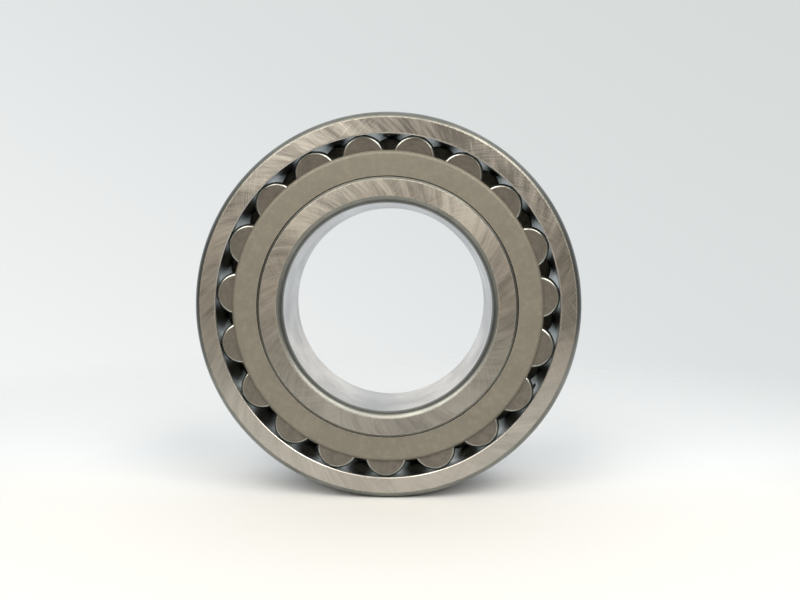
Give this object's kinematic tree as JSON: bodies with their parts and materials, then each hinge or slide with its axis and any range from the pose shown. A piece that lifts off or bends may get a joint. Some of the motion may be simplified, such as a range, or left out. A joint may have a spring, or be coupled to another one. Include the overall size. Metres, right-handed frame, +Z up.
{
  "type": "spherical roller bearing",
  "caption": "Double-row spherical roller bearing with a straight bore: staggered barrel rollers in window cages, a guide ring, and a spherical outer raceway that lets the inner ring swivel.",
  "frame": {"origin": "middle of the bearing: on its axis, halfway between its two side faces", "axes": "+Y along the bearing's axis, from the front side face to the rear one; +Z up, with the bearing standing on its rim; +X to the right seen from the front"},
  "size_m": [0.12, 0.031, 0.12],
  "materials": {
    "ring_steel": "ground side faces, turned corners, honed bore and raceways",
    "roller_steel": "ground, with dull flat ends and polished rounded edges",
    "cage_steel": "matt pressed sheet steel with a warm grey surface treatment",
    "guide_ring_iron": "turned, dull"
  },
  "bodies": {
    "outer_ring": {"outer_ring": "ring_steel"},
    "inner_ring": {"inner_ring": "ring_steel"},
    "guide_ring": {"guide_ring": "guide_ring_iron"},
    "front_cage": {"front_cage": "cage_steel"},
    "rear_cage": {"rear_cage": "cage_steel"},
    "front_roller_01": {"front_roller_01": "roller_steel"},
    "front_roller_02": {"front_roller_02": "roller_steel"},
    "front_roller_03": {"front_roller_03": "roller_steel"},
    "front_roller_04": {"front_roller_04": "roller_steel"},
    "front_roller_05": {"front_roller_05": "roller_steel"},
    "front_roller_06": {"front_roller_06": "roller_steel"},
    "front_roller_07": {"front_roller_07": "roller_steel"},
    "front_roller_08": {"front_roller_08": "roller_steel"},
    "front_roller_09": {"front_roller_09": "roller_steel"},
    "front_roller_10": {"front_roller_10": "roller_steel"},
    "front_roller_11": {"front_roller_11": "roller_steel"},
    "front_roller_12": {"front_roller_12": "roller_steel"},
    "front_roller_13": {"front_roller_13": "roller_steel"},
    "front_roller_14": {"front_roller_14": "roller_steel"},
    "front_roller_15": {"front_roller_15": "roller_steel"},
    "front_roller_16": {"front_roller_16": "roller_steel"},
    "front_roller_17": {"front_roller_17": "roller_steel"},
    "front_roller_18": {"front_roller_18": "roller_steel"},
    "front_roller_19": {"front_roller_19": "roller_steel"},
    "rear_roller_01": {"rear_roller_01": "roller_steel"},
    "rear_roller_02": {"rear_roller_02": "roller_steel"},
    "rear_roller_03": {"rear_roller_03": "roller_steel"},
    "rear_roller_04": {"rear_roller_04": "roller_steel"},
    "rear_roller_05": {"rear_roller_05": "roller_steel"},
    "rear_roller_06": {"rear_roller_06": "roller_steel"},
    "rear_roller_07": {"rear_roller_07": "roller_steel"},
    "rear_roller_08": {"rear_roller_08": "roller_steel"},
    "rear_roller_09": {"rear_roller_09": "roller_steel"},
    "rear_roller_10": {"rear_roller_10": "roller_steel"},
    "rear_roller_11": {"rear_roller_11": "roller_steel"},
    "rear_roller_12": {"rear_roller_12": "roller_steel"},
    "rear_roller_13": {"rear_roller_13": "roller_steel"},
    "rear_roller_14": {"rear_roller_14": "roller_steel"},
    "rear_roller_15": {"rear_roller_15": "roller_steel"},
    "rear_roller_16": {"rear_roller_16": "roller_steel"},
    "rear_roller_17": {"rear_roller_17": "roller_steel"},
    "rear_roller_18": {"rear_roller_18": "roller_steel"},
    "rear_roller_19": {"rear_roller_19": "roller_steel"}
  },
  "joints": [
    {"name": "swivel", "type": "hinge", "parent": "outer_ring", "child": "guide_ring", "pos_m": [0, 0, 0], "axis": [1, 0, 0], "range_deg": [-90, 90]},
    {"name": "inner_ring_spin", "type": "hinge", "parent": "guide_ring", "child": "inner_ring", "pos_m": [0, 0, 0], "axis": [0, 1, 0], "continuous": true},
    {"name": "front_cage_orbit", "type": "hinge", "parent": "guide_ring", "child": "front_cage", "pos_m": [0, 0, 0], "axis": [0, 1, 0], "continuous": true},
    {"name": "rear_cage_orbit", "type": "hinge", "parent": "guide_ring", "child": "rear_cage", "pos_m": [0, 0, 0], "axis": [0, 1, 0], "continuous": true},
    {"name": "front_roller_01_spin", "type": "hinge", "parent": "front_cage", "child": "front_roller_01", "pos_m": [-0.0005, -0.00765, -0.04774], "axis": [-0.0017, 0.9874, -0.1581], "continuous": true},
    {"name": "front_roller_02_spin", "type": "hinge", "parent": "front_cage", "child": "front_roller_02", "pos_m": [0.01503, -0.00765, -0.04531], "axis": [0.0498, 0.9874, -0.1501], "continuous": true},
    {"name": "front_roller_03_spin", "type": "hinge", "parent": "front_cage", "child": "front_roller_03", "pos_m": [0.02893, -0.00765, -0.03798], "axis": [0.0958, 0.9874, -0.1258], "continuous": true},
    {"name": "front_roller_04_spin", "type": "hinge", "parent": "front_cage", "child": "front_roller_04", "pos_m": [0.03969, -0.00765, -0.02653], "axis": [0.1315, 0.9874, -0.0879], "continuous": true},
    {"name": "front_roller_05_spin", "type": "hinge", "parent": "front_cage", "child": "front_roller_05", "pos_m": [0.04616, -0.00765, -0.0122], "axis": [0.1529, 0.9874, -0.0404], "continuous": true},
    {"name": "front_roller_06_spin", "type": "hinge", "parent": "front_cage", "child": "front_roller_06", "pos_m": [0.04762, -0.00765, 0.00344], "axis": [0.1577, 0.9874, 0.0114], "continuous": true},
    {"name": "front_roller_07_spin", "type": "hinge", "parent": "front_cage", "child": "front_roller_07", "pos_m": [0.04392, -0.00765, 0.01872], "axis": [0.1455, 0.9874, 0.062], "continuous": true},
    {"name": "front_roller_08_spin", "type": "hinge", "parent": "front_cage", "child": "front_roller_08", "pos_m": [0.03546, -0.00765, 0.03196], "axis": [0.1175, 0.9874, 0.1059], "continuous": true},
    {"name": "front_roller_09_spin", "type": "hinge", "parent": "front_cage", "child": "front_roller_09", "pos_m": [0.02316, -0.00765, 0.04175], "axis": [0.0767, 0.9874, 0.1383], "continuous": true},
    {"name": "front_roller_10_spin", "type": "hinge", "parent": "front_cage", "child": "front_roller_10", "pos_m": [0.00835, -0.00765, 0.04701], "axis": [0.0277, 0.9874, 0.1557], "continuous": true},
    {"name": "front_roller_11_spin", "type": "hinge", "parent": "front_cage", "child": "front_roller_11", "pos_m": [-0.00736, -0.00765, 0.04717], "axis": [-0.0244, 0.9874, 0.1563], "continuous": true},
    {"name": "front_roller_12_spin", "type": "hinge", "parent": "front_cage", "child": "front_roller_12", "pos_m": [-0.02228, -0.00765, 0.04222], "axis": [-0.0738, 0.9874, 0.1399], "continuous": true},
    {"name": "front_roller_13_spin", "type": "hinge", "parent": "front_cage", "child": "front_roller_13", "pos_m": [-0.03478, -0.00765, 0.0327], "axis": [-0.1152, 0.9874, 0.1083], "continuous": true},
    {"name": "front_roller_14_spin", "type": "hinge", "parent": "front_cage", "child": "front_roller_14", "pos_m": [-0.04352, -0.00765, 0.01963], "axis": [-0.1442, 0.9874, 0.065], "continuous": true},
    {"name": "front_roller_15_spin", "type": "hinge", "parent": "front_cage", "child": "front_roller_15", "pos_m": [-0.04753, -0.00765, 0.00444], "axis": [-0.1575, 0.9874, 0.0147], "continuous": true},
    {"name": "front_roller_16_spin", "type": "hinge", "parent": "front_cage", "child": "front_roller_16", "pos_m": [-0.0464, -0.00765, -0.01123], "axis": [-0.1537, 0.9874, -0.0372], "continuous": true},
    {"name": "front_roller_17_spin", "type": "hinge", "parent": "front_cage", "child": "front_roller_17", "pos_m": [-0.04024, -0.00765, -0.02569], "axis": [-0.1333, 0.9874, -0.0851], "continuous": true},
    {"name": "front_roller_18_spin", "type": "hinge", "parent": "front_cage", "child": "front_roller_18", "pos_m": [-0.02972, -0.00765, -0.03737], "axis": [-0.0984, 0.9874, -0.1238], "continuous": true},
    {"name": "front_roller_19_spin", "type": "hinge", "parent": "front_cage", "child": "front_roller_19", "pos_m": [-0.01597, -0.00765, -0.04499], "axis": [-0.0529, 0.9874, -0.149], "continuous": true},
    {"name": "rear_roller_01_spin", "type": "hinge", "parent": "rear_cage", "child": "rear_roller_01", "pos_m": [0.00736, 0.00765, -0.04717], "axis": [-0.0244, 0.9874, 0.1563], "continuous": true},
    {"name": "rear_roller_02_spin", "type": "hinge", "parent": "rear_cage", "child": "rear_roller_02", "pos_m": [0.02228, 0.00765, -0.04222], "axis": [-0.0738, 0.9874, 0.1399], "continuous": true},
    {"name": "rear_roller_03_spin", "type": "hinge", "parent": "rear_cage", "child": "rear_roller_03", "pos_m": [0.03478, 0.00765, -0.0327], "axis": [-0.1152, 0.9874, 0.1083], "continuous": true},
    {"name": "rear_roller_04_spin", "type": "hinge", "parent": "rear_cage", "child": "rear_roller_04", "pos_m": [0.04352, 0.00765, -0.01963], "axis": [-0.1442, 0.9874, 0.065], "continuous": true},
    {"name": "rear_roller_05_spin", "type": "hinge", "parent": "rear_cage", "child": "rear_roller_05", "pos_m": [0.04753, 0.00765, -0.00444], "axis": [-0.1575, 0.9874, 0.0147], "continuous": true},
    {"name": "rear_roller_06_spin", "type": "hinge", "parent": "rear_cage", "child": "rear_roller_06", "pos_m": [0.0464, 0.00765, 0.01123], "axis": [-0.1537, 0.9874, -0.0372], "continuous": true},
    {"name": "rear_roller_07_spin", "type": "hinge", "parent": "rear_cage", "child": "rear_roller_07", "pos_m": [0.04024, 0.00765, 0.02569], "axis": [-0.1333, 0.9874, -0.0851], "continuous": true},
    {"name": "rear_roller_08_spin", "type": "hinge", "parent": "rear_cage", "child": "rear_roller_08", "pos_m": [0.02972, 0.00765, 0.03737], "axis": [-0.0984, 0.9874, -0.1238], "continuous": true},
    {"name": "rear_roller_09_spin", "type": "hinge", "parent": "rear_cage", "child": "rear_roller_09", "pos_m": [0.01597, 0.00765, 0.04499], "axis": [-0.0529, 0.9874, -0.149], "continuous": true},
    {"name": "rear_roller_10_spin", "type": "hinge", "parent": "rear_cage", "child": "rear_roller_10", "pos_m": [0.0005, 0.00765, 0.04774], "axis": [-0.0017, 0.9874, -0.1581], "continuous": true},
    {"name": "rear_roller_11_spin", "type": "hinge", "parent": "rear_cage", "child": "rear_roller_11", "pos_m": [-0.01503, 0.00765, 0.04531], "axis": [0.0498, 0.9874, -0.1501], "continuous": true},
    {"name": "rear_roller_12_spin", "type": "hinge", "parent": "rear_cage", "child": "rear_roller_12", "pos_m": [-0.02893, 0.00765, 0.03798], "axis": [0.0958, 0.9874, -0.1258], "continuous": true},
    {"name": "rear_roller_13_spin", "type": "hinge", "parent": "rear_cage", "child": "rear_roller_13", "pos_m": [-0.03969, 0.00765, 0.02653], "axis": [0.1315, 0.9874, -0.0879], "continuous": true},
    {"name": "rear_roller_14_spin", "type": "hinge", "parent": "rear_cage", "child": "rear_roller_14", "pos_m": [-0.04616, 0.00765, 0.0122], "axis": [0.1529, 0.9874, -0.0404], "continuous": true},
    {"name": "rear_roller_15_spin", "type": "hinge", "parent": "rear_cage", "child": "rear_roller_15", "pos_m": [-0.04762, 0.00765, -0.00344], "axis": [0.1577, 0.9874, 0.0114], "continuous": true},
    {"name": "rear_roller_16_spin", "type": "hinge", "parent": "rear_cage", "child": "rear_roller_16", "pos_m": [-0.04392, 0.00765, -0.01872], "axis": [0.1455, 0.9874, 0.062], "continuous": true},
    {"name": "rear_roller_17_spin", "type": "hinge", "parent": "rear_cage", "child": "rear_roller_17", "pos_m": [-0.03546, 0.00765, -0.03196], "axis": [0.1175, 0.9874, 0.1059], "continuous": true},
    {"name": "rear_roller_18_spin", "type": "hinge", "parent": "rear_cage", "child": "rear_roller_18", "pos_m": [-0.02316, 0.00765, -0.04175], "axis": [0.0767, 0.9874, 0.1383], "continuous": true},
    {"name": "rear_roller_19_spin", "type": "hinge", "parent": "rear_cage", "child": "rear_roller_19", "pos_m": [-0.00835, 0.00765, -0.04701], "axis": [0.0277, 0.9874, 0.1557], "continuous": true}
  ],
  "couplings": [
    {"joint": "front_cage_orbit", "follows": "inner_ring_spin", "ratio": 0.42916},
    {"joint": "rear_cage_orbit", "follows": "inner_ring_spin", "ratio": 0.42916},
    {"joint": "front_roller_01_spin", "follows": "inner_ring_spin", "ratio": -3.4654},
    {"joint": "front_roller_02_spin", "follows": "inner_ring_spin", "ratio": -3.4654},
    {"joint": "front_roller_03_spin", "follows": "inner_ring_spin", "ratio": -3.4654},
    {"joint": "front_roller_04_spin", "follows": "inner_ring_spin", "ratio": -3.4654},
    {"joint": "front_roller_05_spin", "follows": "inner_ring_spin", "ratio": -3.4654},
    {"joint": "front_roller_06_spin", "follows": "inner_ring_spin", "ratio": -3.4654},
    {"joint": "front_roller_07_spin", "follows": "inner_ring_spin", "ratio": -3.4654},
    {"joint": "front_roller_08_spin", "follows": "inner_ring_spin", "ratio": -3.4654},
    {"joint": "front_roller_09_spin", "follows": "inner_ring_spin", "ratio": -3.4654},
    {"joint": "front_roller_10_spin", "follows": "inner_ring_spin", "ratio": -3.4654},
    {"joint": "front_roller_11_spin", "follows": "inner_ring_spin", "ratio": -3.4654},
    {"joint": "front_roller_12_spin", "follows": "inner_ring_spin", "ratio": -3.4654},
    {"joint": "front_roller_13_spin", "follows": "inner_ring_spin", "ratio": -3.4654},
    {"joint": "front_roller_14_spin", "follows": "inner_ring_spin", "ratio": -3.4654},
    {"joint": "front_roller_15_spin", "follows": "inner_ring_spin", "ratio": -3.4654},
    {"joint": "front_roller_16_spin", "follows": "inner_ring_spin", "ratio": -3.4654},
    {"joint": "front_roller_17_spin", "follows": "inner_ring_spin", "ratio": -3.4654},
    {"joint": "front_roller_18_spin", "follows": "inner_ring_spin", "ratio": -3.4654},
    {"joint": "front_roller_19_spin", "follows": "inner_ring_spin", "ratio": -3.4654},
    {"joint": "rear_roller_01_spin", "follows": "inner_ring_spin", "ratio": -3.4654},
    {"joint": "rear_roller_02_spin", "follows": "inner_ring_spin", "ratio": -3.4654},
    {"joint": "rear_roller_03_spin", "follows": "inner_ring_spin", "ratio": -3.4654},
    {"joint": "rear_roller_04_spin", "follows": "inner_ring_spin", "ratio": -3.4654},
    {"joint": "rear_roller_05_spin", "follows": "inner_ring_spin", "ratio": -3.4654},
    {"joint": "rear_roller_06_spin", "follows": "inner_ring_spin", "ratio": -3.4654},
    {"joint": "rear_roller_07_spin", "follows": "inner_ring_spin", "ratio": -3.4654},
    {"joint": "rear_roller_08_spin", "follows": "inner_ring_spin", "ratio": -3.4654},
    {"joint": "rear_roller_09_spin", "follows": "inner_ring_spin", "ratio": -3.4654},
    {"joint": "rear_roller_10_spin", "follows": "inner_ring_spin", "ratio": -3.4654},
    {"joint": "rear_roller_11_spin", "follows": "inner_ring_spin", "ratio": -3.4654},
    {"joint": "rear_roller_12_spin", "follows": "inner_ring_spin", "ratio": -3.4654},
    {"joint": "rear_roller_13_spin", "follows": "inner_ring_spin", "ratio": -3.4654},
    {"joint": "rear_roller_14_spin", "follows": "inner_ring_spin", "ratio": -3.4654},
    {"joint": "rear_roller_15_spin", "follows": "inner_ring_spin", "ratio": -3.4654},
    {"joint": "rear_roller_16_spin", "follows": "inner_ring_spin", "ratio": -3.4654},
    {"joint": "rear_roller_17_spin", "follows": "inner_ring_spin", "ratio": -3.4654},
    {"joint": "rear_roller_18_spin", "follows": "inner_ring_spin", "ratio": -3.4654},
    {"joint": "rear_roller_19_spin", "follows": "inner_ring_spin", "ratio": -3.4654}
  ]
}
